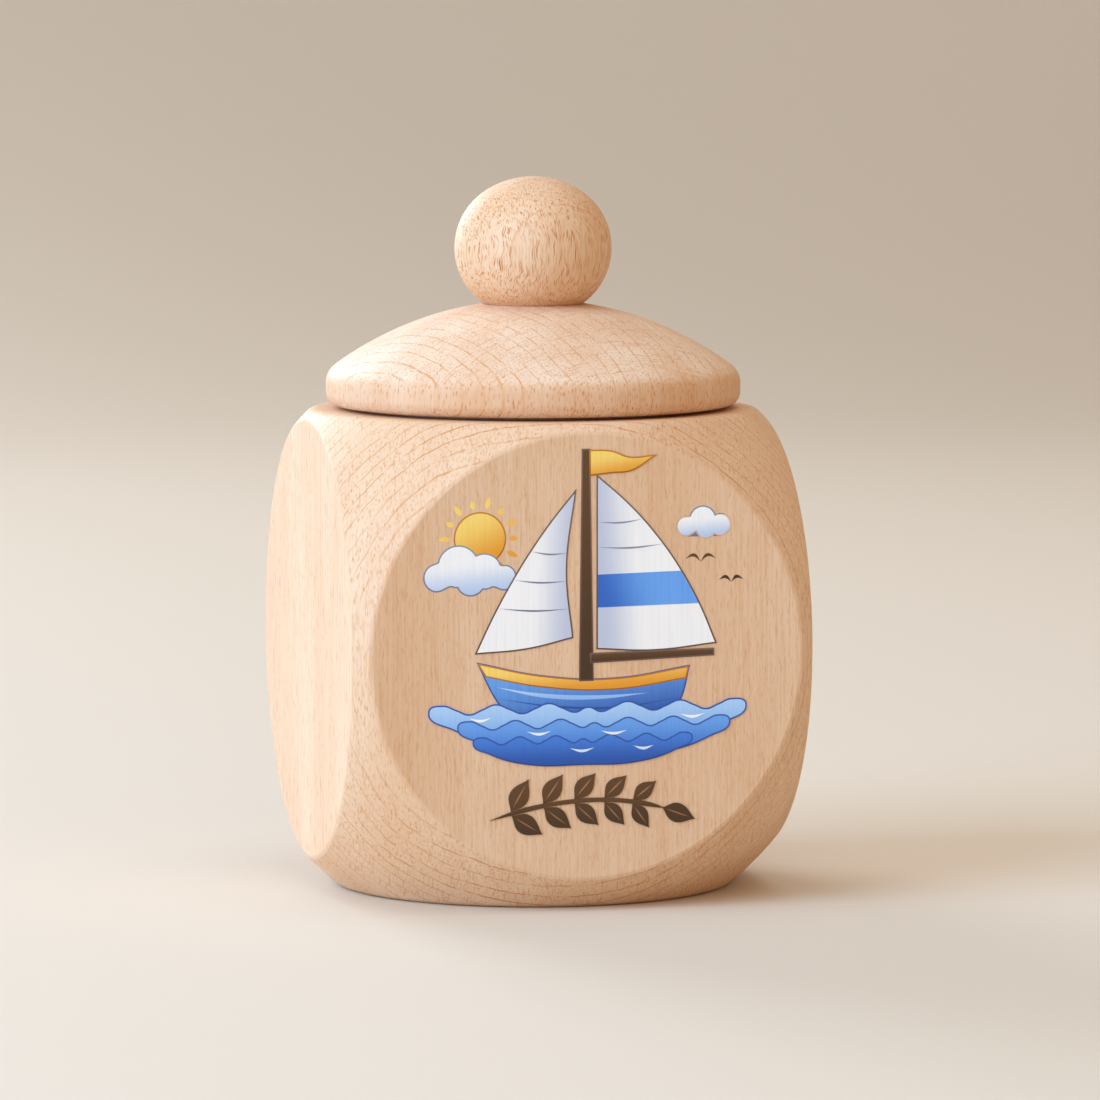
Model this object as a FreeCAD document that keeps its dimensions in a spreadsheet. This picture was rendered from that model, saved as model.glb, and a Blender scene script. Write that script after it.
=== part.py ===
# A turned beech keepsake box: a bored body with four round flats, a domed lid with a plug, and a ball knob.
# Millimetres. +Z is up, the origin is the middle of the foot, and the front flat faces -Y.
import FreeCAD, Part
import os
import Sketcher

# Driving sizes, in millimetres apart from the count of flutes
SIZES = {
    # body
    "bore_diameter": 30.0,
    "wall_thickness": 7.5,
    "body_height": 46.5,
    "floor_thickness": 8.0,
    "corner_land": 2.0,
    "foot_inset": 3.3,
    "shoulder_ledge": 1.5,
    "shoulder_round": 1.4,
    "foot_round": 1.8,
    "flat_edge_round": 0.6,
    "mouth_chamfer": 0.6,
    "spur_mark_diameter": 2.4,
    "spur_mark_depth": 1.2,
    # lid
    "lid_inset": 2.3,
    "lid_gap": 0.3,
    "rim_height": 3.2,
    "rim_top_round": 2.2,
    "rim_base_round": 1.25,
    "dome_rise": 7.0,
    "seat_width": 2.0,
    "plug_length": 8.0,
    "plug_clearance": 0.15,
    "plug_chamfer": 0.8,
    # knob
    "knob_diameter": 15.3,
    "knob_flattening": 1.4,
    "knob_foot_diameter": 9.6,
    "knob_seat_margin": 0.25,
    # dowel pin
    "dowel_diameter": 5.0,
    "dowel_in_lid": 7.8,
    "dowel_in_knob": 7.2,
    "dowel_chamfer": 0.5,
    "dowel_glue_gap": 0.05,
    "dowel_end_gap": 0.4,
    "flute_count": 10,
    "flute_width": 0.7,
    "flute_depth": 0.25,
}

# Sizes that follow from the driving ones, so that pieces that fit together share one value
FITS = {
    "half_width": "Sizes.bore_diameter / 2 + Sizes.wall_thickness",
    "corner_radius": "sqrt(half_width ^ 2 + (half_width - Sizes.corner_land / sqrt(2)) ^ 2)",
    "lid_radius": "half_width - Sizes.lid_inset",
    "shoulder_radius": "lid_radius + Sizes.shoulder_ledge",
    "foot_radius": "half_width - Sizes.foot_inset",
    # the strip of turned surface between a flat's edge and the shoulder has to hold both roundings,
    # and each takes up about 0.4 of its radius, so together they use under 0.9 of the strip
    "edge_strip": "(half_width - shoulder_radius) * sqrt(2)",
    "shoulder_round": "min(Sizes.shoulder_round; 1.25 * edge_strip)",
    "flat_edge_round": "min(Sizes.flat_edge_round; 0.95 * edge_strip; 0.95 * Sizes.corner_land)",
    "plug_radius": "Sizes.bore_diameter / 2 - Sizes.plug_clearance",
    "seat_radius": "plug_radius + Sizes.seat_width",
    # heights in the lid are counted from the underside of its plug
    "rim_base_height": "Sizes.plug_length + Sizes.lid_gap",
    "rim_top_height": "rim_base_height + Sizes.rim_height",
    "dome_radius": "(lid_radius ^ 2 + Sizes.dome_rise ^ 2) / (2 * Sizes.dome_rise)",
    "rim_base_round": "min(Sizes.rim_base_round; Sizes.rim_height / 2; 0.9 * (lid_radius - seat_radius))",
    # a rounding takes up its radius times the tangent of half the turn between rim and dome
    "rim_half_turn": "tan(45 deg - asin(lid_radius / dome_radius) / 2)",
    "rim_top_round": "min(Sizes.rim_top_round; 0.95 * (Sizes.rim_height - rim_base_round) / rim_half_turn)",
    "knob_foot_radius": "Sizes.knob_foot_diameter / 2",
    "knob_seat_radius": "knob_foot_radius + Sizes.knob_seat_margin",
    "knob_seat_drop": "dome_radius - sqrt(dome_radius ^ 2 - knob_seat_radius ^ 2)",
    "knob_seat_height": "rim_top_height + Sizes.dome_rise - knob_seat_drop",
    "knob_radius": "Sizes.knob_diameter / 2",
    "knob_half_height": "(Sizes.knob_diameter - Sizes.knob_flattening) / 2",
    # the ball is turned with two arcs that meet smoothly, one over the crown and one round the side
    "knob_crown_arc": "knob_radius ^ 2 / knob_half_height",
    "knob_side_arc": "knob_half_height * (knob_radius + knob_half_height) / (2 * knob_radius)",
    "knob_side_centre": "knob_radius - knob_side_arc",
    "knob_centre_height": "sqrt(knob_side_arc ^ 2 - (knob_foot_radius - knob_side_centre) ^ 2)",
    "knob_crown_centre": "knob_centre_height + knob_half_height - knob_crown_arc",
    "knob_crown_share": "knob_crown_arc / (knob_crown_arc - knob_side_arc)",
    "knob_join_radius": "knob_side_centre * knob_crown_share",
    "knob_join_height": "knob_crown_centre + (knob_centre_height - knob_crown_centre) * knob_crown_share",
    "dowel_radius": "Sizes.dowel_diameter / 2",
    "dowel_hole_radius": "dowel_radius + Sizes.dowel_glue_gap",
    "dowel_length": "Sizes.dowel_in_lid + Sizes.dowel_in_knob",
    # where each piece's own zero height lies above the foot
    "lid_place": "Sizes.body_height - Sizes.plug_length",
    "knob_place": "lid_place + knob_seat_height",
    "dowel_place": "knob_place - Sizes.dowel_in_lid",
}

# In a sketch, a line or arc counts itself first and then its points, in this order
POINT_ORDER = ("itself", "start", "end", "centre")
START = POINT_ORDER.index("start")
END = POINT_ORDER.index("end")
CENTRE = POINT_ORDER.index("centre")

# The sketch's own axes count down from the one that runs across, whose start is the origin
ORIGIN_POINT = (-1, START)
ACROSS_AXIS = ORIGIN_POINT[0]
UPRIGHT_AXIS = ACROSS_AXIS - 1
SAME_PLACE = 1e-4

doc = FreeCAD.newDocument("tooth_box")

sheet = doc.addObject("Spreadsheet::Sheet", "Sizes")
for row, (name, size) in enumerate(SIZES.items(), start=1):
    sheet.set("A%d" % row, name)
    sheet.set("B%d" % row, str(size))
    sheet.setAlias("B%d" % row, name)
doc.recompute()

fits = doc.addObject("App::VarSet", "Fits")
for name, formula in FITS.items():
    fits.addProperty("App::PropertyFloat", name, "Fits")
    fits.setExpression(name, formula)
doc.recompute()


def measure(formula):
    """The present value of a formula, to start a sketch near its solution."""
    return float(fits.evalExpression(formula))


def new_body(label, height=None):
    """An empty piece, set up on its own zero height above the foot."""
    body = doc.addObject("PartDesign::Body", label)
    body.Label = label
    if height is not None:
        body.setExpression("Placement.Base.z", height)
    return body


def new_sketch(body, name, plane):
    """A sketch on one of the piece's own origin planes."""
    sketch = body.newObject("Sketcher::SketchObject", name)
    support = next(item for item in body.Origin.OriginFeatures if item.Role == plane)
    sketch.AttachmentSupport = [(support, "")]
    sketch.MapMode = "FlatFace"
    return sketch


def bind(sketch, constraint, formula):
    """Add a dimension to the sketch and bind it to a formula."""
    index = sketch.addConstraint(constraint)
    sketch.setExpression("Constraints[%d]" % index, formula)


def pin(sketch, geometry, end, across, up):
    """Hold a point of a line or arc at formulas counted from the sketch's origin. None leaves it free."""
    point = (geometry, end)
    for kind, axis, formula in (("DistanceX", UPRIGHT_AXIS, across), ("DistanceY", ACROSS_AXIS, up)):
        if formula is None:
            continue
        if formula == "0":
            sketch.addConstraint(Sketcher.Constraint("PointOnObject", geometry, end, axis))
            continue
        backwards = formula.startswith("-")
        formula = formula.lstrip("-")
        ends = point + ORIGIN_POINT if backwards else ORIGIN_POINT + point
        bind(sketch, Sketcher.Constraint(kind, *ends, measure(formula)), formula)


def spot(corner):
    """A corner's present place in its sketch."""
    return FreeCAD.Vector(measure(corner[0]), measure(corner[1]), 0)


def end_at(sketch, run, place):
    """The end of a line or arc that lies at this place. A clockwise arc is kept the other way round."""
    at_start = sketch.getPoint(run, START).distanceToPoint(place) < SAME_PLACE
    return run, START if at_start else END


def draw_outline(sketch, corners, arcs=None):
    """A closed outline through the corners. Each run is known by the corner that it starts from.

    arcs gives a middle point for each run that is an arc.
    """
    arcs = arcs or {}
    runs = {}
    for corner, following in zip(corners, corners[1:] + corners[:1]):
        start = spot(corner)
        end = spot(following)
        if corner in arcs:
            runs[corner] = sketch.addGeometry(Part.Arc(start, spot(arcs[corner]), end))
        else:
            runs[corner] = sketch.addGeometry(Part.LineSegment(start, end))
    for previous, corner in zip(corners[-1:] + corners, corners):
        before = end_at(sketch, runs[previous], spot(corner))
        after = end_at(sketch, runs[corner], spot(corner))
        sketch.addConstraint(Sketcher.Constraint("Coincident", *before, *after))
        pin(sketch, *after, *corner)
    return runs


def turn(body, kind, name, sketch):
    """Turn a half section about the piece's upright axis, to add or to cut."""
    feature = body.newObject("PartDesign::" + kind, name)
    feature.Profile = sketch
    feature.ReferenceAxis = (sketch, ["V_Axis"])
    feature.Angle = 360
    doc.recompute()
    return feature


def cut_through(body, name, sketch):
    """Cut the sketch upwards through the whole piece."""
    feature = body.newObject("PartDesign::Pocket", name)
    feature.Profile = sketch
    feature.Type = "ThroughAll"
    feature.Reversed = True
    doc.recompute()
    return feature


def round_edges(body, name, base, radius, chosen):
    """Round those edges of the feature for which chosen is true."""
    numbered = enumerate(base.Shape.Edges, start=1)
    edges = ["Edge%d" % number for number, edge in numbered if chosen(edge)]
    feature = body.newObject("PartDesign::Fillet", name)
    feature.Base = (base, edges)
    feature.setExpression("Radius", radius)
    doc.recompute()
    return feature


def is_ring(edge, radius, height):
    """True for a circle about the upright axis with this radius at this height."""
    box = edge.BoundBox
    misses = (box.XMax - radius, box.YMax - radius, box.ZMin - height, box.ZMax - height)
    return all(abs(miss) < SAME_PLACE for miss in misses)


# Body: a block turned to a ball shape, then cut flat on four sides, sanded and bored from above
body = new_body("box_body")
sketch = new_sketch(body, "BlankSection", "XZ_Plane")
foot_edge = ("Fits.foot_radius", "0")
outline = [
    ("0", "0"),
    foot_edge,
    ("Fits.shoulder_radius", "Sizes.body_height"),
    ("0", "Sizes.body_height"),
]
runs = draw_outline(sketch, outline, {foot_edge: ("Fits.corner_radius", "Sizes.body_height / 2")})
widest = Part.LineSegment(spot(("Fits.corner_radius", "0")), spot(("Fits.corner_radius", "Sizes.body_height")))
widest_line = sketch.addGeometry(widest, True)
sketch.addConstraint(Sketcher.Constraint("Tangent", runs[foot_edge], widest_line))
pin(sketch, widest_line, START, "Fits.corner_radius", "0")
pin(sketch, widest_line, END, "Fits.corner_radius", "Sizes.body_height")
blank = turn(body, "Revolution", "TurnedBlank", sketch)

shoulder = measure("Fits.shoulder_radius")
top = measure("Sizes.body_height")
feature = round_edges(
    body, "ShoulderRound", blank, "Fits.shoulder_round", lambda edge: is_ring(edge, shoulder, top)
)
foot = measure("Fits.foot_radius")
feature = round_edges(body, "FootRound", feature, "Sizes.foot_round", lambda edge: is_ring(edge, foot, 0))

sketch = new_sketch(body, "FlatsPlan", "XY_Plane")
for reach in ("Fits.half_width", "Fits.half_width * 2"):
    square = [("-" + reach, "-" + reach), (reach, "-" + reach), (reach, reach), ("-" + reach, reach)]
    draw_outline(sketch, square)
feature = cut_through(body, "SideFlats", sketch)

half_width = measure("Fits.half_width")


def on_a_flat(edge):
    """True for an edge that lies in one of the four flats."""
    box = edge.BoundBox
    sides = ((box.XMin, box.XMax), (box.YMin, box.YMax))
    return any(abs(abs(low) - half_width) + abs(high - low) < SAME_PLACE for low, high in sides)


feature = round_edges(body, "FlatEdges", feature, "Fits.flat_edge_round", on_a_flat)

sketch = new_sketch(body, "BoreSection", "XZ_Plane")
draw_outline(sketch, [
    ("0", "Sizes.floor_thickness - Sizes.spur_mark_depth"),
    ("Sizes.spur_mark_diameter / 2", "Sizes.floor_thickness"),
    ("Sizes.bore_diameter / 2", "Sizes.floor_thickness"),
    ("Sizes.bore_diameter / 2", "Sizes.body_height - Sizes.mouth_chamfer"),
    ("Sizes.bore_diameter / 2 + Sizes.mouth_chamfer", "Sizes.body_height"),
    ("0", "Sizes.body_height"),
])
turn(body, "Groove", "Bore", sketch)

# Lid: a low dome with a rounded rim, and underneath a seat ring and the plug that fits the bore
lid = new_body("lid", "Fits.lid_place")
sketch = new_sketch(lid, "LidSection", "XZ_Plane")
dome_edge = ("Fits.lid_radius", "Fits.rim_top_height")
outline = [
    ("0", "0"),
    ("Fits.plug_radius - Sizes.plug_chamfer", "0"),
    ("Fits.plug_radius", "Sizes.plug_chamfer"),
    ("Fits.plug_radius", "Sizes.plug_length"),
    ("Fits.seat_radius", "Sizes.plug_length"),
    ("Fits.seat_radius", "Fits.rim_base_height"),
    ("Fits.lid_radius", "Fits.rim_base_height"),
    dome_edge,
    ("Fits.knob_seat_radius", "Fits.knob_seat_height"),
    ("0", "Fits.knob_seat_height"),
]
dome_middle = (
    "Fits.lid_radius / 2",
    "Fits.rim_top_height + Sizes.dome_rise - Fits.dome_radius"
    " + sqrt(Fits.dome_radius ^ 2 - (Fits.lid_radius / 2) ^ 2)",
)
runs = draw_outline(sketch, outline, {dome_edge: dome_middle})
pin(sketch, runs[dome_edge], CENTRE, "0", None)
turned_lid = turn(lid, "Revolution", "TurnedLid", sketch)

rim = measure("Fits.lid_radius")
rim_base = measure("Fits.rim_base_height")
rim_top = measure("Fits.rim_top_height")
feature = round_edges(
    lid, "RimBaseRound", turned_lid, "Fits.rim_base_round", lambda edge: is_ring(edge, rim, rim_base)
)
feature = round_edges(
    lid, "RimTopRound", feature, "Fits.rim_top_round", lambda edge: is_ring(edge, rim, rim_top)
)

sketch = new_sketch(lid, "LidHoleSection", "XZ_Plane")
draw_outline(sketch, [
    ("0", "Fits.knob_seat_height - Sizes.dowel_in_lid"),
    ("Fits.dowel_hole_radius", "Fits.knob_seat_height - Sizes.dowel_in_lid"),
    ("Fits.dowel_hole_radius", "Fits.knob_seat_height"),
    ("0", "Fits.knob_seat_height"),
])
turn(lid, "Groove", "LidHole", sketch)

# Knob: a slightly flattened turned ball, cut flat at the foot where it is glued down
knob = new_body("knob", "Fits.knob_place")
sketch = new_sketch(knob, "BallSection", "XZ_Plane")
ball_edge = ("Fits.knob_foot_radius", "0")
crown_edge = ("Fits.knob_join_radius", "Fits.knob_join_height")
outline = [
    ("0", "0"),
    ball_edge,
    crown_edge,
    ("0", "Fits.knob_centre_height + Fits.knob_half_height"),
]
side_middle = ("Fits.knob_radius", "Fits.knob_centre_height")
crown_middle = (
    "Fits.knob_join_radius / 2",
    "Fits.knob_crown_centre + sqrt(Fits.knob_crown_arc ^ 2 - (Fits.knob_join_radius / 2) ^ 2)",
)
runs = draw_outline(sketch, outline, {ball_edge: side_middle, crown_edge: crown_middle})
pin(sketch, runs[ball_edge], CENTRE, None, "Fits.knob_centre_height")
pin(sketch, runs[crown_edge], CENTRE, "0", None)
turn(knob, "Revolution", "TurnedBall", sketch)

sketch = new_sketch(knob, "KnobHoleSection", "XZ_Plane")
draw_outline(sketch, [
    ("0", "0"),
    ("Fits.dowel_hole_radius", "0"),
    ("Fits.dowel_hole_radius", "Sizes.dowel_in_knob + Sizes.dowel_end_gap"),
    ("0", "Sizes.dowel_in_knob + Sizes.dowel_end_gap"),
])
turn(knob, "Groove", "KnobHole", sketch)

# Dowel pin: a fluted pin with chamfered ends, glued into the lid and the knob
dowel = new_body("knob_dowel", "Fits.dowel_place")
sketch = new_sketch(dowel, "PinSection", "XZ_Plane")
draw_outline(sketch, [
    ("0", "0"),
    ("Fits.dowel_radius - Sizes.dowel_chamfer", "0"),
    ("Fits.dowel_radius", "Sizes.dowel_chamfer"),
    ("Fits.dowel_radius", "Fits.dowel_length - Sizes.dowel_chamfer"),
    ("Fits.dowel_radius - Sizes.dowel_chamfer", "Fits.dowel_length"),
    ("0", "Fits.dowel_length"),
])
turn(dowel, "Revolution", "TurnedPin", sketch)

# each flute is a groove of V section, as wide as its named width at the pin's surface
sketch = new_sketch(dowel, "FlutePlan", "XY_Plane")
draw_outline(sketch, [
    ("Fits.dowel_radius - Sizes.flute_depth", "0"),
    ("Fits.dowel_radius + Sizes.flute_depth", "-Sizes.flute_width"),
    ("Fits.dowel_radius + Sizes.flute_depth", "Sizes.flute_width"),
])
flute = cut_through(dowel, "Flute", sketch)
flutes = dowel.newObject("PartDesign::PolarPattern", "Flutes")
flutes.Originals = [flute]
flutes.Axis = (sketch, ["N_Axis"])
flutes.Angle = 360
flutes.setExpression("Occurrences", "Sizes.flute_count")
dowel.Tip = flutes
doc.recompute()

# Every feature has to be sound, and every cut has to have taken wood away, before anything is written
pieces = (body, lid, knob, dowel)
for item in doc.Objects:
    if "Invalid" in item.State or "Error" in item.State:
        raise RuntimeError("%s is not sound: %s" % (item.Name, item.State))
for piece in pieces:
    if piece.Shape.isNull() or not piece.Shape.isValid():
        raise RuntimeError("%s has no valid shape" % piece.Label)
    for item in piece.Group:
        is_cut = item.TypeId in ("PartDesign::Groove", "PartDesign::Pocket")
        if is_cut and item.Shape.Volume >= item.BaseFeature.Shape.Volume:
            raise RuntimeError("%s cuts nothing" % item.Name)

os.makedirs("parts", exist_ok=True)
for piece in pieces:
    piece.Shape.exportStep("parts/%s.step" % piece.Label)
    box = piece.Shape.BoundBox
    print("%s: %.1f mm3, from z %.2f to %.2f" % (piece.Label, piece.Shape.Volume, box.ZMin, box.ZMax))
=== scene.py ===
import itertools
import math

import bmesh
import bpy
from mathutils import Matrix, Vector


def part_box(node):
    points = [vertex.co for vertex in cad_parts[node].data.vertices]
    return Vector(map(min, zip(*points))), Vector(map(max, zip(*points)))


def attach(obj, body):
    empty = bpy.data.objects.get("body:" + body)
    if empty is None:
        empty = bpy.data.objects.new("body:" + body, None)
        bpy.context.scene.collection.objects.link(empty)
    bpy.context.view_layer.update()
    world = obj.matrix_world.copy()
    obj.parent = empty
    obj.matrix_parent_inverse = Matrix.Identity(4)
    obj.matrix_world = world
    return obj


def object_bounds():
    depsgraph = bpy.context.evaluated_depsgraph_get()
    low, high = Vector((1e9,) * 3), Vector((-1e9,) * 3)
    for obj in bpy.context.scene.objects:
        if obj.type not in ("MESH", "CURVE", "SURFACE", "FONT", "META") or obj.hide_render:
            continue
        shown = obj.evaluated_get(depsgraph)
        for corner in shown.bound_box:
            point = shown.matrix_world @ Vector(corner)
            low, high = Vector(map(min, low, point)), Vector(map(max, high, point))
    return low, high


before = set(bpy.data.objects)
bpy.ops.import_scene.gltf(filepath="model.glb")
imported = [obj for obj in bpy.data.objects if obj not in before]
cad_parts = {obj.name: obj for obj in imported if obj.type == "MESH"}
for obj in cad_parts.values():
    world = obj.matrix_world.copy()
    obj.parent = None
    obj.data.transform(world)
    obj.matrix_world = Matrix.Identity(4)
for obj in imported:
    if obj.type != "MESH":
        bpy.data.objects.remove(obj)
cad_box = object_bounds()


# Body
# One upright block of beech, turned to a barrel, sanded flat on four sides and bored from the top.
# The wood is bare and sanded fine, with its grain standing upright from foot to mouth.


def linear(code):
    """Turns an sRGB hex colour into the linear RGBA that a shader socket takes."""
    channels = [int(code[place:place + 2], 16) / 255 for place in (1, 3, 5)]
    return [c / 12.92 if c <= 0.04045 else ((c + 0.055) / 1.055) ** 2.4 for c in channels] + [1.0]


def add_node(tree, kind, inputs, **settings):
    """Adds a node with its settings and fills its inputs, where a node stands for its first output."""
    made = tree.nodes.new(kind)
    for setting, value in settings.items():
        setattr(made, setting, value)
    for socket, value in inputs.items():
        if isinstance(value, bpy.types.Node):
            value = value.outputs[0]
        if isinstance(value, bpy.types.NodeSocket):
            tree.links.new(value, made.inputs[socket])
        else:
            made.inputs[socket].default_value = value
    return made


MILLIMETRE = 0.001

# Fibres in millimetres, drawn wider than real ones so that they show
FIBRE_WIDTH = 0.2
FIBRE_LENGTH = 9


def sanded_beech(
    name, pith, lean, curl, rings, rays, dashes, tones,
    flat_dashes=1.0, side_marks=1.0, side_shade=0.0, bore_radius=0.0,
):
    """Bare beech under fine sandpaper, as one solid pattern that every cut face shows its own way.

    Growth rings stand round a pith that lies outside the piece, rays are thin blades that point at it,
    and fibres run upright. So a side shows streaks and short dashes, and a dome shows a net of rings
    crossed by rays. Lengths are in millimetres. pith is a place on its line, from the middle of the foot,
    lean how far the fibres lean away from it, in degrees, and curl how far the rays wander sideways.
    rings holds the rings' width, the width of their late-wood line and its depth of tone, and rays and
    dashes the thickness, reach, height and depth of tone of the tall and the small rays. flat_dashes is
    how much of the small rays shows on a face that they don't cross aslant, side_marks how much of the
    rings and the tall rays is left on an upright face, and side_shade how far an upright face is darkened
    toward the late-wood tone, a painted shade. Inside bore_radius the wood is left as the drill cut it.
    """
    ring_width, line_width, ring_depth = rings
    pale, warm, late, ray = [linear(code) for code in tones]
    material = bpy.data.materials.new(name)
    material.use_nodes = True
    tree = material.node_tree
    shader = tree.nodes["Principled BSDF"]
    shader.inputs["IOR"].default_value = 1.5
    shader.inputs["Specular IOR Level"].default_value = 0.3

    # Place in the wood, in millimetres from the pith, with the piece straight ahead on X and fibres on Z
    pith_distance = math.hypot(pith[0], pith[1])
    bearing = math.atan2(-pith[1], -pith[0])
    place = add_node(tree, "ShaderNodeTexCoord", {})
    wood = add_node(tree, "ShaderNodeMapping", {
        "Vector": place.outputs["Object"],
        "Location": [length * MILLIMETRE for length in pith],
        "Rotation": (0, math.radians(lean), bearing),
        "Scale": (MILLIMETRE, MILLIMETRE, MILLIMETRE),
    }, vector_type="TEXTURE")
    axes = add_node(tree, "ShaderNodeSeparateXYZ", {0: wood})

    # Broad bands of paler and warmer wood, with long fibres drawn over them
    band_width = 7
    band_length = 60
    band_place = add_node(tree, "ShaderNodeMapping", {
        "Vector": wood,
        "Scale": (1 / band_width, 1 / band_width, 1 / band_length),
    })
    band = add_node(tree, "ShaderNodeTexNoise", {"Vector": band_place, "Scale": 1, "Detail": 3})
    bands = add_node(tree, "ShaderNodeMapRange", {
        "Value": band,
        "From Min": 0.3,
        "From Max": 0.7,
    })
    fibre_place = add_node(tree, "ShaderNodeMapping", {
        "Vector": wood,
        "Scale": (1 / FIBRE_WIDTH, 1 / FIBRE_WIDTH, 1 / FIBRE_LENGTH),
    })
    fibre = add_node(tree, "ShaderNodeTexNoise", {"Vector": fibre_place, "Scale": 1, "Detail": 3})
    pore = add_node(tree, "ShaderNodeMapRange", {
        "Value": fibre,
        "From Min": 0.42,
        "From Max": 0.75,
        "To Min": 0.0,
        "To Max": 0.3,
    })
    ground = add_node(tree, "ShaderNodeMix", {0: bands, 6: pale, 7: warm}, data_type="RGBA")
    fibred = add_node(tree, "ShaderNodeMix", {0: pore, 6: ground.outputs[2], 7: late}, data_type="RGBA")

    # Growth rings: each ends in a thin late-wood line that wanders, breaks off and starts again
    drift_width = 14
    drift_length = 70
    ring_drift = 2.4
    tremor_width = 1.1
    tremor_length = 2
    ring_tremor = 0.3
    patch_width = 1.6
    patch_length = 3
    patch_shift = (40, 0, 0)
    drift_place = add_node(tree, "ShaderNodeMapping", {
        "Vector": wood,
        "Scale": (1 / drift_width, 1 / drift_width, 1 / drift_length),
    })
    drift = add_node(tree, "ShaderNodeTexNoise", {"Vector": drift_place, "Scale": 1, "Detail": 2})
    across = add_node(tree, "ShaderNodeVectorMath", {0: wood, 1: (1, 1, 0)}, operation="MULTIPLY")
    radius = add_node(tree, "ShaderNodeVectorMath", {0: across}, operation="LENGTH")
    wandered = add_node(tree, "ShaderNodeMath", {
        0: drift,
        1: ring_drift,
        2: radius.outputs["Value"],
    }, operation="MULTIPLY_ADD")
    tremor_place = add_node(tree, "ShaderNodeMapping", {
        "Vector": wood,
        "Scale": (1 / tremor_width, 1 / tremor_width, 1 / tremor_length),
    })
    tremor = add_node(tree, "ShaderNodeTexNoise", {"Vector": tremor_place, "Scale": 1, "Detail": 2})
    trembled = add_node(tree, "ShaderNodeMath", {
        0: tremor,
        1: ring_tremor,
        2: wandered,
    }, operation="MULTIPLY_ADD")
    years = add_node(tree, "ShaderNodeMath", {0: trembled, 1: ring_width}, operation="DIVIDE")
    season = add_node(tree, "ShaderNodeMath", {0: years}, operation="FRACT")
    year = add_node(tree, "ShaderNodeMath", {0: years}, operation="FLOOR")
    weather = add_node(tree, "ShaderNodeTexWhiteNoise", {"W": year}, noise_dimensions="1D")
    autumn = add_node(tree, "ShaderNodeMapRange", {
        "Value": season,
        "From Min": 1 - 0.7 * line_width / ring_width,
        "From Max": 1 - 0.2 * line_width / ring_width,
    }, interpolation_type="SMOOTHSTEP")
    winter = add_node(tree, "ShaderNodeMapRange", {
        "Value": season,
        "From Min": 0.0,
        "From Max": 0.3 * line_width / ring_width,
        "To Min": 1.0,
        "To Max": 0.0,
    }, interpolation_type="SMOOTHSTEP")
    ring = add_node(tree, "ShaderNodeMath", {0: autumn, 1: winter}, operation="MAXIMUM")
    vigour = add_node(tree, "ShaderNodeMapRange", {
        "Value": weather.outputs["Value"],
        "To Min": 0.42 * ring_depth,
        "To Max": ring_depth,
    })
    patch_place = add_node(tree, "ShaderNodeMapping", {
        "Vector": wood,
        "Location": patch_shift,
        "Scale": (1 / patch_width, 1 / patch_width, 1 / patch_length),
    })
    patch = add_node(tree, "ShaderNodeTexNoise", {"Vector": patch_place, "Scale": 1, "Detail": 2})
    whole = add_node(tree, "ShaderNodeMapRange", {
        "Value": patch,
        "From Min": 0.36,
        "From Max": 0.56,
        "To Min": 0.15,
        "To Max": 1.0,
    })
    ring_line = add_node(tree, "ShaderNodeMath", {0: ring, 1: vigour}, operation="MULTIPLY")
    ring_mark = add_node(tree, "ShaderNodeMath", {0: ring_line, 1: whole}, operation="MULTIPLY")

    # A ring that lies level with the surface is sanded through and hardly shows, and a side shows less:
    # a face is a side where its normal rises less than side_rise, and a top from top_rise on
    side_rise = 0.3
    top_rise = 0.75
    outward = add_node(tree, "ShaderNodeVectorMath", {
        0: place.outputs["Object"],
        1: [length * MILLIMETRE for length in pith],
    }, operation="SUBTRACT")
    level = add_node(tree, "ShaderNodeVectorMath", {0: outward, 1: (1, 1, 0)}, operation="MULTIPLY")
    heading = add_node(tree, "ShaderNodeVectorMath", {0: level}, operation="NORMALIZE")
    facing = add_node(tree, "ShaderNodeVectorMath", {
        0: heading,
        1: place.outputs["Normal"],
    }, operation="DOT_PRODUCT")
    flatness = add_node(tree, "ShaderNodeMath", {0: facing.outputs["Value"]}, operation="ABSOLUTE")
    crossing = add_node(tree, "ShaderNodeMapRange", {
        "Value": flatness,
        "From Min": 0.8,
        "From Max": 0.97,
        "To Min": 1.0,
        "To Max": 0.06,
    }, interpolation_type="SMOOTHSTEP")
    tilt = add_node(tree, "ShaderNodeSeparateXYZ", {0: place.outputs["Normal"]})
    slope = add_node(tree, "ShaderNodeMath", {0: tilt.outputs["Z"]}, operation="ABSOLUTE")
    upright = add_node(tree, "ShaderNodeMapRange", {
        "Value": slope,
        "From Min": side_rise,
        "From Max": top_rise,
        "To Min": side_marks,
        "To Max": 1.0,
    }, interpolation_type="SMOOTHSTEP")
    shown = add_node(tree, "ShaderNodeMath", {0: crossing, 1: upright}, operation="MULTIPLY")
    ring_shade = add_node(tree, "ShaderNodeMath", {
        0: ring_mark,
        1: shown,
    }, operation="MULTIPLY")
    # Painted shade: upright faces, such as the lid's rim, are mixed toward the late-wood tone, darker than
    # faces that look up
    painted_shade_share = add_node(tree, "ShaderNodeMapRange", {
        "Value": slope,
        "From Min": side_rise,
        "From Max": top_rise,
        "To Min": side_shade,
        "To Max": 0.0,
    }, interpolation_type="SMOOTHSTEP")
    shaded_sides = add_node(tree, "ShaderNodeMix", {
        0: painted_shade_share,
        6: fibred.outputs[2],
        7: late,
    }, data_type="RGBA")
    marked = add_node(tree, "ShaderNodeMix", {
        0: ring_shade,
        6: shaded_sides.outputs[2],
        7: late,
    }, data_type="RGBA")

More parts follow.
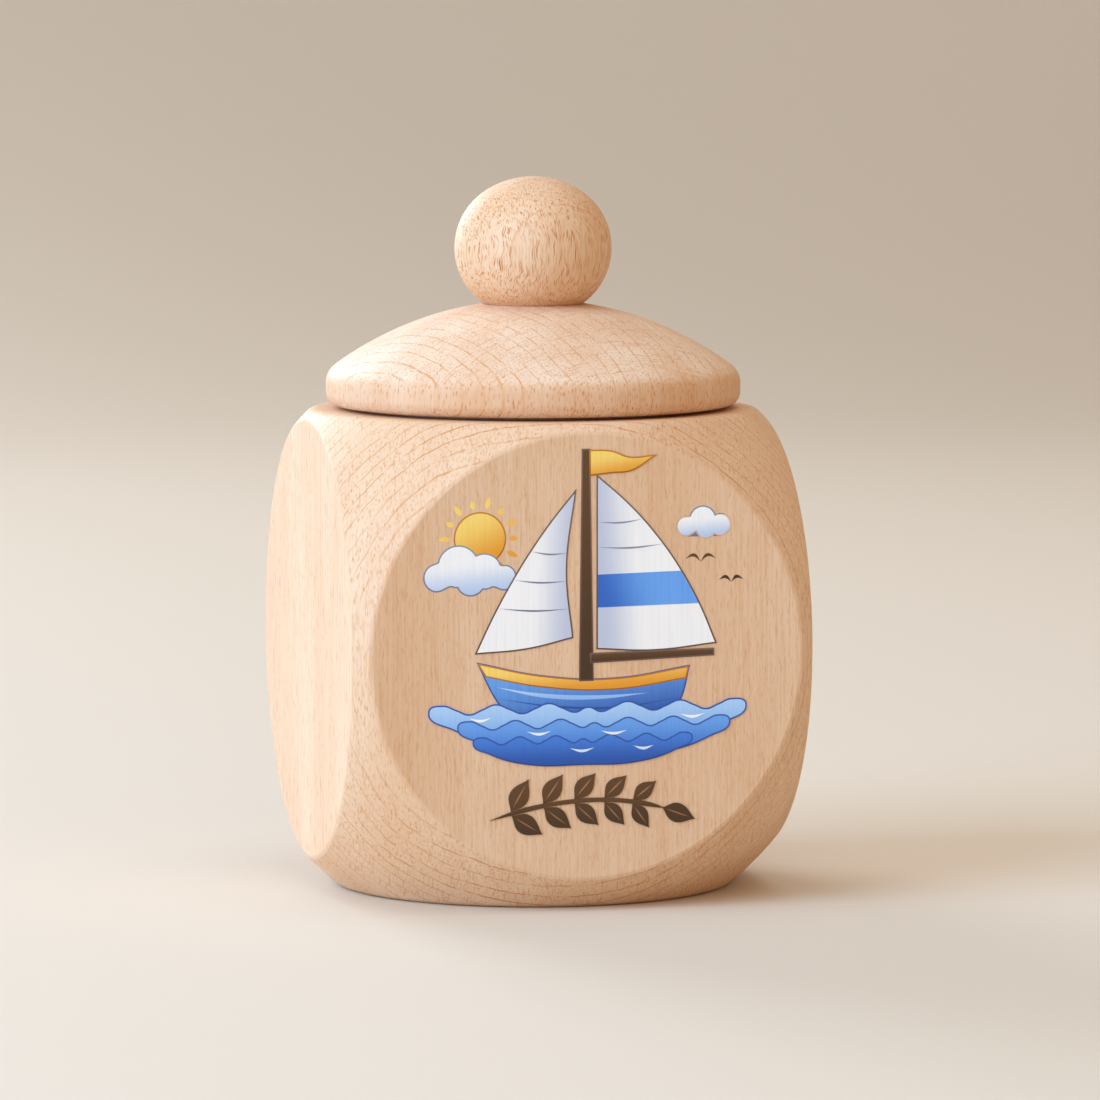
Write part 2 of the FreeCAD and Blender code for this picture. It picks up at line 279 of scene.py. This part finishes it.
    # Rays: flat, slightly curled blades, laid out by the arc round the pith, the way to it and the height.
    # A corner, which looks at about 45 degrees to the way to the pith, cuts the small ones broader.
    sway_length = 1.2
    corner_facing = 0.7
    angle = add_node(tree, "ShaderNodeMath", {
        0: axes.outputs["Y"],
        1: axes.outputs["X"],
    }, operation="ARCTAN2")
    arc = add_node(tree, "ShaderNodeMath", {0: angle, 1: pith_distance}, operation="MULTIPLY")
    sway = add_node(tree, "ShaderNodeTexNoise", {"Vector": wood, "Scale": 1 / sway_length, "Detail": 1})
    curled = add_node(tree, "ShaderNodeMath", {
        0: sway,
        1: curl,
        2: arc,
    }, operation="MULTIPLY_ADD")
    blade = add_node(tree, "ShaderNodeCombineXYZ", {
        "X": curled,
        "Y": radius.outputs["Value"],
        "Z": axes.outputs["Z"],
    })
    slant = add_node(tree, "ShaderNodeMath", {0: flatness, 1: corner_facing}, operation="SUBTRACT")
    off_slant = add_node(tree, "ShaderNodeMath", {0: slant}, operation="ABSOLUTE")
    aslant = add_node(tree, "ShaderNodeMapRange", {
        "Value": off_slant,
        "From Min": 0.1,
        "From Max": 0.26,
        "To Min": 1.0,
        "To Max": flat_dashes,
    }, interpolation_type="SMOOTHSTEP")
    relief = fibre
    for (*size, depth), share in ((rays, upright), (dashes, aslant)):
        blade_place = add_node(tree, "ShaderNodeMapping", {
            "Vector": blade,
            "Scale": [1 / length for length in size],
        })
        blades = add_node(tree, "ShaderNodeTexVoronoi", {"Vector": blade_place, "Scale": 1})
        lens = add_node(tree, "ShaderNodeMapRange", {
            "Value": blades.outputs["Distance"],
            "From Min": 0.16,
            "From Max": 0.4,
            "To Min": depth,
            "To Max": 0.0,
        }, interpolation_type="SMOOTHSTEP")
        chance = add_node(tree, "ShaderNodeSeparateColor", {0: blades.outputs["Color"]})
        strength = add_node(tree, "ShaderNodeMapRange", {"Value": chance, "To Min": 0.32})
        full = add_node(tree, "ShaderNodeMath", {0: lens, 1: strength}, operation="MULTIPLY")
        fleck = add_node(tree, "ShaderNodeMath", {0: full, 1: share}, operation="MULTIPLY")
        marked = add_node(tree, "ShaderNodeMix", {
            0: fleck,
            6: marked.outputs[2],
            7: ray,
        }, data_type="RGBA")
        relief = add_node(tree, "ShaderNodeMath", {0: relief, 1: fleck}, operation="SUBTRACT")
    tree.links.new(marked.outputs[2], shader.inputs["Base Color"])

    # The drill's rim leaves a ring for each turn on the wall and the floor of a bore. The feed is in
    # millimetres a turn, and the depth a share of the grain's relief.
    drill_feed = 0.45
    drill_depth = 0.8
    spot = add_node(tree, "ShaderNodeVectorMath", {
        0: place.outputs["Object"],
        "Scale": 1 / MILLIMETRE,
    }, operation="SCALE")
    spot_level = add_node(tree, "ShaderNodeVectorMath", {0: spot, 1: (1, 1, 0)}, operation="MULTIPLY")
    off_axis = add_node(tree, "ShaderNodeVectorMath", {0: spot_level}, operation="LENGTH")
    travel = add_node(tree, "ShaderNodeMath", {
        0: off_axis.outputs["Value"],
        1: axes.outputs["Z"],
    }, operation="ADD")
    feed = add_node(tree, "ShaderNodeMath", {0: travel, 1: 2 * math.pi / drill_feed}, operation="MULTIPLY")
    groove = add_node(tree, "ShaderNodeMath", {0: feed}, operation="SINE")
    drilled = add_node(tree, "ShaderNodeMath", {
        0: off_axis.outputs["Value"],
        1: bore_radius,
    }, operation="LESS_THAN")
    cut = add_node(tree, "ShaderNodeMath", {0: groove, 1: drilled}, operation="MULTIPLY")
    relief = add_node(tree, "ShaderNodeMath", {0: cut, 1: drill_depth, 2: relief}, operation="MULTIPLY_ADD")

    # Sanding leaves a dull satin, with fibres and rays felt as a relief of a hundredth of a millimetre
    grain_relief = 0.012
    gloss = add_node(tree, "ShaderNodeMapRange", {
        "Value": fibre,
        "To Min": 0.46,
        "To Max": 0.64,
    })
    tree.links.new(gloss.outputs[0], shader.inputs["Roughness"])
    bump = add_node(tree, "ShaderNodeBump", {
        "Height": relief,
        "Strength": 1.0,
        "Distance": grain_relief * MILLIMETRE,
    })
    tree.links.new(bump.outputs[0], shader.inputs["Normal"])
    return material


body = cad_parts["box_body"]
body.material_slots[0].material = sanded_beech(
    "sanded_beech_body",
    pith=(40, 300, 0),
    lean=1.2,
    curl=0.5,
    rings=(1.1, 0.19, 1.0),
    rays=(0.26, 2, 2.6, 0.42),
    dashes=(0.18, 0.4, 1.1, 0.62),
    tones=("#eac7a4", "#e2b993", "#cb8340", "#c27226"),
    flat_dashes=0.45,
    side_marks=0.6,
    bore_radius=15.1,
)


# Print
# A sailing boat over a sprig of leaves, in pigment inks that are jetted straight onto the sanded front
# flat and cured there by light. Every pass ends a few thousandths of a millimetre above the last.

FRONT_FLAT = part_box("box_body")[0].y
WATERLINE = 18.6
SOAK = 0.01
PASS_FILM = 0.003
RIM_WIDTH = 0.14
WELD = 0.0005
INK_RELIEF = 0.005
SMOOTH = "AUTO"
CORNER = "VECTOR"
passes = itertools.count(1)


def cured_ink(name, light, deep, toward=(0, -1), onset=-0.45):
    """Pigment ink cured on wood: opaque and satin, and deeper toward one side (right, up) of its shape."""
    material = bpy.data.materials.new(name)
    material.use_nodes = True
    tree = material.node_tree
    shader = tree.nodes["Principled BSDF"]
    shader.inputs["IOR"].default_value = 1.5
    place = add_node(tree, "ShaderNodeTexCoord", {})
    across = add_node(tree, "ShaderNodeVectorMath", {
        0: place.outputs["Generated"],
        1: (0.5, 0.5, 0.5),
    }, operation="SUBTRACT")
    along = add_node(tree, "ShaderNodeVectorMath", {
        0: across,
        1: (toward[0], 0, toward[1]),
    }, operation="DOT_PRODUCT")
    shade = add_node(tree, "ShaderNodeMapRange", {
        "Value": along.outputs["Value"],
        "From Min": onset,
        "From Max": 0.5,
    }, interpolation_type="SMOOTHSTEP")
    blended = add_node(tree, "ShaderNodeMix", {
        0: shade,
        6: linear(light),
        7: linear(deep),
    }, data_type="RGBA")

    # The wood's fibres show faintly through the film
    fibre_place = add_node(tree, "ShaderNodeMapping", {
        "Vector": place.outputs["Object"],
        "Scale": [1 / (size * MILLIMETRE) for size in (FIBRE_WIDTH, FIBRE_WIDTH, FIBRE_LENGTH)],
    })
    fibre = add_node(tree, "ShaderNodeTexNoise", {"Vector": fibre_place, "Scale": 1, "Detail": 3})
    thin = add_node(tree, "ShaderNodeMapRange", {
        "Value": fibre,
        "From Min": 0.4,
        "From Max": 0.8,
        "To Min": 0.0,
        "To Max": 0.22,
    })
    stained = add_node(tree, "ShaderNodeMix", {
        0: thin,
        6: blended.outputs[2],
        7: linear(deep),
    }, data_type="RGBA")
    tree.links.new(stained.outputs[2], shader.inputs["Base Color"])
    gloss = add_node(tree, "ShaderNodeMapRange", {
        "Value": fibre,
        "To Min": 0.3,
        "To Max": 0.46,
    })
    tree.links.new(gloss.outputs[0], shader.inputs["Roughness"])
    bump = add_node(tree, "ShaderNodeBump", {
        "Height": fibre,
        "Strength": 1.0,
        "Distance": INK_RELIEF * MILLIMETRE,
    })
    tree.links.new(bump.outputs[0], shader.inputs["Normal"])
    return material


def print_shapes(name, outlines, ink, grow=0.0):
    """Lays the next pass of ink on the flat, inside closed outlines in millimetres from the waterline."""
    film = next(passes) * PASS_FILM
    curve = bpy.data.curves.new(name, "CURVE")
    curve.dimensions = "2D"
    curve.fill_mode = "BOTH"
    curve.resolution_u = 12
    curve.extrude = (film + SOAK) / 2
    curve.offset = grow
    for outline in outlines:
        spline = curve.splines.new("BEZIER")
        spline.use_cyclic_u = True
        spline.bezier_points.add(len(outline) - 1)
        for point, (right, up, bend) in zip(spline.bezier_points, outline):
            point.co = (right, up, 0)
            point.handle_left_type = bend
            point.handle_right_type = bend
    drawing = bpy.data.objects.new(name, curve)
    bpy.context.scene.collection.objects.link(drawing)
    bpy.context.view_layer.update()
    layers = bpy.context.evaluated_depsgraph_get()
    filled = bpy.data.meshes.new_from_object(drawing.evaluated_get(layers))
    shape = bmesh.new()
    shape.from_mesh(filled)
    bpy.data.objects.remove(drawing)
    bpy.data.meshes.remove(filled)
    shape.transform(
        Matrix.Translation((0, FRONT_FLAT, WATERLINE * MILLIMETRE))
        @ Matrix.Rotation(math.radians(90), 4, "X")
        @ Matrix.Scale(MILLIMETRE, 4)
        @ Matrix.Translation((0, 0, (film - SOAK) / 2))
    )
    bmesh.ops.remove_doubles(shape, verts=shape.verts, dist=WELD * MILLIMETRE)
    bmesh.ops.recalc_face_normals(shape, faces=shape.faces)
    mesh = bpy.data.meshes.new(name)
    shape.to_mesh(mesh)
    shape.free()
    mesh.materials.append(ink)
    piece = bpy.data.objects.new(name, mesh)
    bpy.context.scene.collection.objects.link(piece)
    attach(piece, "box")


def bordered(name, outlines, ink, rim):
    """A printed shape with a thin darker border, which is a wider film below it."""
    print_shapes(name + "_rim", outlines, rim, RIM_WIDTH)
    print_shapes(name, outlines, ink)


def bow(start, bulge, end, share):
    """A point part of the way along a curve from start to end that is drawn toward bulge."""
    leaving = Vector(start).lerp(Vector(bulge), share)
    arriving = Vector(bulge).lerp(Vector(end), share)
    return leaving.lerp(arriving, share)


def stroke(path, width):
    """The outline of a brush stroke along a path: widest in the middle and pointed at both ends."""
    there = []
    back = []
    for before, here, after in zip(path, path[1:], path[2:]):
        run = Vector(after) - Vector(before)
        side = Vector((-run.y, run.x)).normalized() * width / 2
        there.append((here[0] + side.x, here[1] + side.y, SMOOTH))
        back.append((here[0] - side.x, here[1] - side.y, SMOOTH))
    return [(*path[0], CORNER), *there, (*path[-1], CORNER), *reversed(back)]


PUFF_STEPS = 72


def puff(centre, balls):
    """The outline round a heap of balls, each with its place from the centre and its radius."""
    outline = []
    for step in range(PUFF_STEPS):
        turn = step / PUFF_STEPS * 2 * math.pi
        ahead = Vector((math.cos(turn), math.sin(turn)))
        reach = 0
        for right, up, ball in balls:
            along = ahead.x * right + ahead.y * up
            beside = ahead.x * up - ahead.y * right
            if abs(beside) < ball:
                reach = max(reach, along + math.sqrt(ball ** 2 - beside ** 2))
        outline.append((centre[0] + ahead.x * reach, centre[1] + ahead.y * reach, SMOOTH))
    return outline


gold_ink = cured_ink("cured_ink_gold", "#ffdc72", "#ea9a22", (0.4, -0.9))
amber_rim = cured_ink("cured_ink_amber_rim", "#cb8420", "#a86014")
navy_rim = cured_ink("cured_ink_navy_rim", "#2858ab", "#1b3f86")
slate_rim = cured_ink("cured_ink_slate_rim", "#8b93a8", "#6f7791")
umber_rim = cured_ink("cured_ink_umber_rim", "#7a6157", "#5f473d")

# Sun behind a cloud, with a smaller cloud and two gulls on the other side
SUN = (-10.5, 17.2)
SUN_RADIUS = 2.4
BEAMS = 14
BEAM_WIDTH = 0.5
BEAM_GAP = 0.4
BEAM_LENGTHS = (0.9, 1.3)
beams = []
for beam in range(BEAMS):
    turn = beam / BEAMS * 2 * math.pi
    ahead = Vector((math.cos(turn), math.sin(turn)))
    length = BEAM_LENGTHS[beam % 2]
    root = Vector(SUN) + ahead * (SUN_RADIUS + BEAM_GAP)
    beams.append(stroke([root + ahead * length * part for part in (0, 0.4, 1)], BEAM_WIDTH))
print_shapes("print_sunbeams", beams, gold_ink)
bordered("print_sun", [puff(SUN, [(0, 0, SUN_RADIUS)])], gold_ink, amber_rim)
cloud_ink = cured_ink("cured_ink_cloud", "#fcfbf9", "#b9cfee", (0.15, -1), -0.2)
near_cloud = puff((-11.4, 13.9), [
    (-3.2, -0.3, 1.25), (-1.2, 0.7, 1.9), (1.3, 0.2, 1.6), (3.2, -0.4, 1.1), (0, -0.7, 1.3),
])
far_cloud = puff((11.5, 18.2), [(-1.9, -0.2, 0.85), (-0.3, 0.4, 1.2), (1.4, -0.1, 0.95), (0, -0.4, 0.9)])
bordered("print_near_cloud", [near_cloud], cloud_ink, slate_rim)
bordered("print_far_cloud", [far_cloud], cloud_ink, slate_rim)
brown_ink = cured_ink("cured_ink_brown", "#61401f", "#452a12", (0.2, -1))
WING_WIDTH = 0.3
gulls = []
for right, up, span in ((11.0, 14.6, 1.5), (14.0, 12.6, 1.2)):
    for way in (-1, 1):
        gulls.append(stroke([
            (right, up),
            (right + way * 0.45 * span, up + 0.42 * span),
            (right + way * span, up + 0.2 * span),
        ], WING_WIDTH))
print_shapes("print_gulls", gulls, brown_ink)

# Hull with a gold rail, a pale strake and two plank seams
SEAM_WIDTH = 0.16
STRAKE_WIDTH = 0.36
hull_ink = cured_ink("cured_ink_hull", "#6aa6ee", "#1c50aa", (0.35, -1))
hull = [
    (-10.6, 5.3, CORNER), (-4.5, 4.0, SMOOTH), (2.5, 3.6, SMOOTH), (9.8, 4.6, CORNER),
    (9.0, 1.6, SMOOTH), (7.0, -1.4, CORNER), (-6.0, -1.4, CORNER), (-8.8, 1.8, SMOOTH),
]
rail = [
    (-10.5, 5.2, CORNER), (-4.5, 3.95, SMOOTH), (2.5, 3.55, SMOOTH), (9.7, 4.5, CORNER),
    (9.5, 3.6, CORNER), (2.5, 2.7, SMOOTH), (-4.5, 3.1, SMOOTH), (-9.9, 4.2, CORNER),
]
bordered("print_hull", [hull], hull_ink, navy_rim)
bordered("print_rail", [rail], gold_ink, amber_rim)
sky_ink = cured_ink("cured_ink_sky", "#bfdcfb", "#8fbef4")
strake = stroke([(-9.0, 3.1), (-4.5, 2.2), (1.0, 1.9), (6.0, 2.2)], STRAKE_WIDTH)
print_shapes("print_strake", [strake], sky_ink)
seams = [
    stroke([(-8.9, 2.0), (-3.0, 1.1), (3.0, 0.9), (8.9, 1.7)], SEAM_WIDTH),
    stroke([(-7.9, 0.8), (-3.0, 0.1), (3.0, -0.1), (8.2, 0.6)], SEAM_WIDTH),
]
print_shapes("print_planks", seams, navy_rim)

# Sails on a mast and boom, shaded toward the mast, with sewn panels and a blue band
MAST_SIDE = 0.95
MAIN_HEAD = (MAST_SIDE, 22.8)
MAIN_CLEW = (12.4, 6.9)
MAIN_BULGE = (8.8, 16.6)
JIB_HEAD = (-1.35, 21.3)
JIB_TACK = (-10.8, 6.4)
JIB_BULGE = (-6.9, 15.0)
JIB_CLEW = (-1.6, 7.7)
EDGE_SHARES = (0.2, 0.4, 0.6, 0.8)
BAND_SHARES = (0.62, 0.71, 0.8)
SEAM_DROP = 0.2
SEAM_SAG = 0.3
mast = [(-0.75, 3.6, CORNER), (-0.5, 25.4, CORNER), (0.05, 25.4, CORNER), (0.4, 3.6, CORNER)]
boom = [(0.3, 5.3, CORNER), (12.2, 5.75, CORNER), (12.2, 6.2, CORNER), (0.3, 6.0, CORNER)]
main_edge = [(*bow(MAIN_HEAD, MAIN_BULGE, MAIN_CLEW, share), SMOOTH) for share in EDGE_SHARES]
jib_edge = [(*bow(JIB_TACK, JIB_BULGE, JIB_HEAD, share), SMOOTH) for share in EDGE_SHARES]
main_sail = [
    (*MAIN_HEAD, CORNER), *main_edge, (*MAIN_CLEW, CORNER), (6.4, 6.35, SMOOTH), (MAST_SIDE, 6.6, CORNER),
]
jib = [
    (*JIB_TACK, CORNER), *jib_edge, (*JIB_HEAD, CORNER), (-2.2, 14.2, SMOOTH), (*JIB_CLEW, CORNER),
    (-6.0, 6.75, SMOOTH),
]
main_ink = cured_ink("cured_ink_main_sail", "#fdfbf8", "#c3cbdf", (-1, -0.1), 0.12)
jib_ink = cured_ink("cured_ink_jib", "#fdfbf8", "#c3cbdf", (1, -0.1), 0.05)
bordered("print_mast", [mast], brown_ink, umber_rim)
bordered("print_main_sail", [main_sail], main_ink, umber_rim)
bordered("print_jib", [jib], jib_ink, umber_rim)
bordered("print_boom", [boom], brown_ink, umber_rim)
band_top, band_middle, band_foot = [bow(MAIN_HEAD, MAIN_BULGE, MAIN_CLEW, share) for share in BAND_SHARES]
band = [
    (MAST_SIDE, band_top.y - SEAM_DROP, CORNER), (*band_top, CORNER), (*band_middle, SMOOTH),
    (*band_foot, CORNER), (MAST_SIDE, band_foot.y - SEAM_DROP, CORNER),
]
band_ink = cured_ink("cured_ink_band", "#6aa8f2", "#2a66c4", (-1, -0.1), -0.1)
print_shapes("print_sail_band", [band], band_ink)
panels = []
for share in (0.3, 0.46):
    edge = bow(MAIN_HEAD, MAIN_BULGE, MAIN_CLEW, share)
    middle = ((MAST_SIDE + edge.x) / 2, edge.y - SEAM_SAG)
    panels.append(stroke([(MAST_SIDE, edge.y - SEAM_DROP), middle, edge], SEAM_WIDTH))
for share in (0.25, 0.42, 0.6):
    edge = bow(JIB_TACK, JIB_BULGE, JIB_HEAD, share)
    middle = (edge.x / 2 - 1.0, edge.y - SEAM_SAG)
    panels.append(stroke([edge, middle, (-2.0, edge.y - SEAM_DROP)], SEAM_WIDTH))
print_shapes("print_sail_panels", panels, slate_rim)
pennant = [
    (0.25, 25.3, CORNER), (2.2, 25.2, SMOOTH), (4.0, 24.6, SMOOTH), (6.2, 24.7, CORNER),
    (4.2, 23.5, SMOOTH), (2.2, 23.3, SMOOTH), (0.25, 23.1, CORNER),
]
bordered("print_pennant", [pennant], gold_ink, amber_rim)


WAVE_STEPS = 12


def wave(half_width, height, swell, keel, shift):
    """A band of water: a rippled top, rounded off at either end, and one long curve below."""
    top = []
    for step in range(1 - WAVE_STEPS, WAVE_STEPS):
        right = step / WAVE_STEPS * half_width
        top.append((right + shift, height - swell * math.sin(abs(step) * math.pi / 2), SMOOTH))
    below = [(part * half_width + shift, height + (keel - height) * (1 - part ** 4), SMOOTH)
             for part in (0.85, 0.5, 0, -0.5, -0.85)]
    return [(-half_width + shift, height, SMOOTH), *top, (half_width + shift, height, SMOOTH), *below]


# Water in three bands that deepen toward the viewer, each with a few strokes of foam
far_ink = cured_ink("cured_ink_far_water", "#b4d7fa", "#6aa7ec", (0, -1), -0.6)
middle_ink = cured_ink("cured_ink_middle_water", "#6faaf0", "#3573d2", (0, -1), -0.6)
near_ink = cured_ink("cured_ink_near_water", "#4483de", "#1c52aa", (0, -1), -0.6)
foam_ink = cured_ink("cured_ink_foam", "#ffffff", "#dce9fa")
bordered("print_far_water", [wave(15.4, 0.9, 0.45, -2.6, 0.0)], far_ink, navy_rim)
bordered("print_middle_water", [wave(13.2, -0.6, 0.42, -3.6, 0.6)], middle_ink, navy_rim)
bordered("print_near_water", [wave(10.6, -2.1, 0.36, -4.4, -0.5)], near_ink, navy_rim)
FOAM_WIDTH = 0.26
FOAM_SAG = 0.28
foam = []
foam_strokes = (
    (-11.6, 0.2, 2.2), (9.0, 0.1, 2.4), (-6.0, -1.2, 2.4),
    (1.2, -1.3, 2.6), (-1.8, -2.9, 2.4), (4.4, -2.8, 2.0),
)
for right, up, length in foam_strokes:
    sag = (right + length / 2, up - FOAM_SAG)
    foam.append(stroke([(right, up), sag, (right + length, up)], FOAM_WIDTH))
print_shapes("print_foam", foam, foam_ink)

# Sprig of leaves in brown, one pair after another along a bowed stem
STEM_START = (-9.6, -9.6)
STEM_BULGE = (0.0, -6.6)
STEM_END = (7.6, -8.9)
STEM_WIDTH = 0.42
LEAF_SPREAD = math.radians(46)
LEAF_LENGTH = 3.6
LAST_LEAF_LENGTH = 3.4
LAST_LEAF_TURN = math.radians(-20)
LEAF_START = 0.3
LEAF_BELLY = 0.42
LEAF_HALF_WIDTH = 0.27
VEIN_WIDTH = 0.14
stem = [bow(STEM_START, STEM_BULGE, STEM_END, share) for share in (0, 0.15, 0.3, 0.45, 0.6, 0.75, 0.9, 1)]
leaves = []
veins = []


def add_leaf(root, turn, length):
    """A pointed leaf that springs from just beside the stem, and the vein along its middle."""
    ahead = Vector((math.cos(turn), math.sin(turn)))
    side = Vector((-ahead.y, ahead.x)) * length * LEAF_HALF_WIDTH
    start = root + ahead * LEAF_START
    belly = start + ahead * length * LEAF_BELLY
    leaves.append([
        (*start, CORNER), (*(belly + side), SMOOTH),
        (*(start + ahead * length), CORNER), (*(belly - side), SMOOTH),
    ])
    veins.append(stroke([start + ahead * length * part for part in (0.1, 0.45, 0.85)], VEIN_WIDTH))


for share in (0.1, 0.27, 0.44, 0.61, 0.78):
    root = bow(STEM_START, STEM_BULGE, STEM_END, share)
    run = bow(STEM_START, STEM_BULGE, STEM_END, share + 0.05) - root
    heading = math.atan2(run.y, run.x)
    add_leaf(root, heading + LEAF_SPREAD, LEAF_LENGTH - share)
    add_leaf(root, heading - LEAF_SPREAD, LEAF_LENGTH - share)
add_leaf(bow(STEM_START, STEM_BULGE, STEM_END, 0.96), LAST_LEAF_TURN, LAST_LEAF_LENGTH)
print_shapes("print_stem", [stroke(stem, STEM_WIDTH)], brown_ink)
print_shapes("print_leaves", leaves, brown_ink)
vein_ink = cured_ink("cured_ink_vein", "#a8794c", "#8f6238")
print_shapes("print_veins", veins, vein_ink)


# Lid
# A domed disc of beech with a plug below, turned in one piece. Its grain stands upright too,
# so the dome is end grain, a net of growth rings crossed by rays.

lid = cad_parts["lid"]
lid.material_slots[0].material = sanded_beech(
    "sanded_beech_lid",
    pith=(-110, -55, 0),
    lean=1.2,
    curl=0.5,
    rings=(1.4, 0.23, 0.85),
    rays=(0.22, 5, 2.6, 0.5),
    dashes=(0.3, 0.2, 1.0, 0.85),
    # These tones are paler than the body's, a painted light for the lid's dome, which looks up to the lamps
    tones=("#f0d6bb", "#e5be9b", "#d08a46", "#c8782a"),
    side_marks=0.45,
    # The rim's darker tone set here is painted shade
    side_shade=0.36,
)


# Dowel
# A fluted pin cut from beech rod, glued into a blind hole in the top of the lid.
# The knob goes over its other half, so it is hidden in the finished box.

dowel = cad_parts["knob_dowel"]
dowel.material_slots[0].material = sanded_beech(
    "planed_beech_dowel",
    pith=(25, 12, 0),
    lean=1.2,
    curl=0.3,
    rings=(1.2, 0.2, 0.5),
    rays=(0.4, 3, 1.6, 0.5),
    dashes=(0.24, 0.5, 0.9, 0.3),
    tones=("#ecc8a8", "#e2b792", "#c08a5a", "#a8713f"),
)


# Knob
# A beech ball, turned and sanded, with a small flat where it is glued to the lid over the dowel.
# Its grain stands upright and shows as fine wavy strokes.

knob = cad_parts["knob"]
knob.material_slots[0].material = sanded_beech(
    "sanded_beech_knob",
    pith=(-12, 44, 63),
    lean=4,
    curl=0.6,
    rings=(4.4, 0.2, 0.7),
    rays=(0.13, 0.5, 4.2, 1.0),
    dashes=(0.1, 0.4, 2.4, 1.0),
    tones=("#eecdab", "#e2b58a", "#cc8442", "#c26c22"),
)


# Floor and backdrop
# A plain pale sweep of painted board, flat under the box and curved up behind it. Its matt paint
# throws back no picture of the box, only soft shade. Lengths are in metres.

SWEEP_REACH = 2.5
SWEEP_START = 0.55
SWEEP_RADIUS = 0.6
SWEEP_HEIGHT = 2.2
SWEEP_STEPS = 24
floor_curve = bpy.data.meshes.new("studio_sweep")
sweep = bmesh.new()
profile = [(-SWEEP_REACH, 0.0), (SWEEP_START, 0.0)]
for step in range(1, SWEEP_STEPS + 1):
    turn = step / SWEEP_STEPS * math.pi / 2
    profile.append((SWEEP_START + SWEEP_RADIUS * math.sin(turn), SWEEP_RADIUS * (1 - math.cos(turn))))
profile.append((SWEEP_START + SWEEP_RADIUS, SWEEP_HEIGHT))
rows = [[sweep.verts.new((x, y, z)) for x in (-SWEEP_REACH, SWEEP_REACH)] for y, z in profile]
for near, far in zip(rows, rows[1:]):
    sweep.faces.new((near[0], near[1], far[1], far[0])).smooth = True
sweep.to_mesh(floor_curve)
sweep.free()
floor = bpy.data.objects.new("studio_sweep", floor_curve)
bpy.context.scene.collection.objects.link(floor)
paint = bpy.data.materials.new("matt_painted_board")
paint.use_nodes = True
coat = paint.node_tree.nodes["Principled BSDF"]
coat.inputs["Base Color"].default_value = linear("#dccdb9")
coat.inputs["Roughness"].default_value = 0.7
floor_curve.materials.append(paint)


# Light
# Four soft panels: a broad cool one above on the left, one behind on the left for a sheen, one overhead
# and a weak warm one in front. The world adds an even light from all round.

centre = (cad_box[0] + cad_box[1]) / 2


def soft_panel(name, place, size, watts, tint, fan=180):
    """A square lamp that faces the middle of the box, fans out by some degrees and shows in no picture."""
    lamp = bpy.data.lights.new(name, "AREA")
    lamp.size = size
    lamp.energy = watts
    lamp.color = linear(tint)[:3]
    lamp.spread = math.radians(fan)
    panel = bpy.data.objects.new(name, lamp)
    panel.location = place
    panel.rotation_mode = "QUATERNION"
    panel.rotation_quaternion = (centre - Vector(place)).to_track_quat("-Z", "Y")
    panel.visible_camera = False
    bpy.context.scene.collection.objects.link(panel)


soft_panel("left_panel", (-0.82, -0.28, 0.43), 0.8, 14.1, "#b0d6ff")
soft_panel("back_panel", (-0.3, 0.86, 0.36), 0.48, 1.8, "#deeeff", 90)
soft_panel("ceiling_panel", (0.1, -0.1, 1.1), 0.9, 3.3, "#f6f9ff")
soft_panel("front_panel", (0.1, -0.95, 0.6), 0.8, 1.5, "#ffe8ce")

surround = bpy.data.worlds.new("even_light")
surround.use_nodes = True
air = surround.node_tree.nodes["Background"]
air.inputs["Color"].default_value = linear("#f6e4cd")
air.inputs["Strength"].default_value = 0.5
bpy.context.scene.world = surround


# Camera
# Fitted to the photograph's outline of the box: a long lens, a little above the knob. Its focal length
# is given as a share of the picture's width, and its distance and height in metres.

CAMERA_DISTANCE = 0.700
CAMERA_HEIGHT = 0.09692
CAMERA_TURN = math.radians(13.379)
CAMERA_PITCH = math.radians(5.257)
CAMERA_PAN = math.radians(0.135)
FOCAL_SHARE = 7197.8 / 1100
SENSOR_WIDTH = 36
lens = bpy.data.cameras.new("camera")
lens.sensor_width = SENSOR_WIDTH
lens.lens = SENSOR_WIDTH * FOCAL_SHARE
camera = bpy.data.objects.new("camera", lens)
ahead = Vector((
    math.sin(CAMERA_PAN) * math.cos(CAMERA_PITCH),
    math.cos(CAMERA_PAN) * math.cos(CAMERA_PITCH),
    -math.sin(CAMERA_PITCH),
))
turned = Matrix.Rotation(-CAMERA_TURN, 3, "Z")
camera.location = turned @ Vector((0, -CAMERA_DISTANCE, CAMERA_HEIGHT))
camera.rotation_mode = "QUATERNION"
camera.rotation_quaternion = (turned @ ahead).to_track_quat("-Z", "Y")
bpy.context.scene.collection.objects.link(camera)
bpy.context.scene.camera = camera

bpy.context.scene.view_settings.view_transform = "Standard"
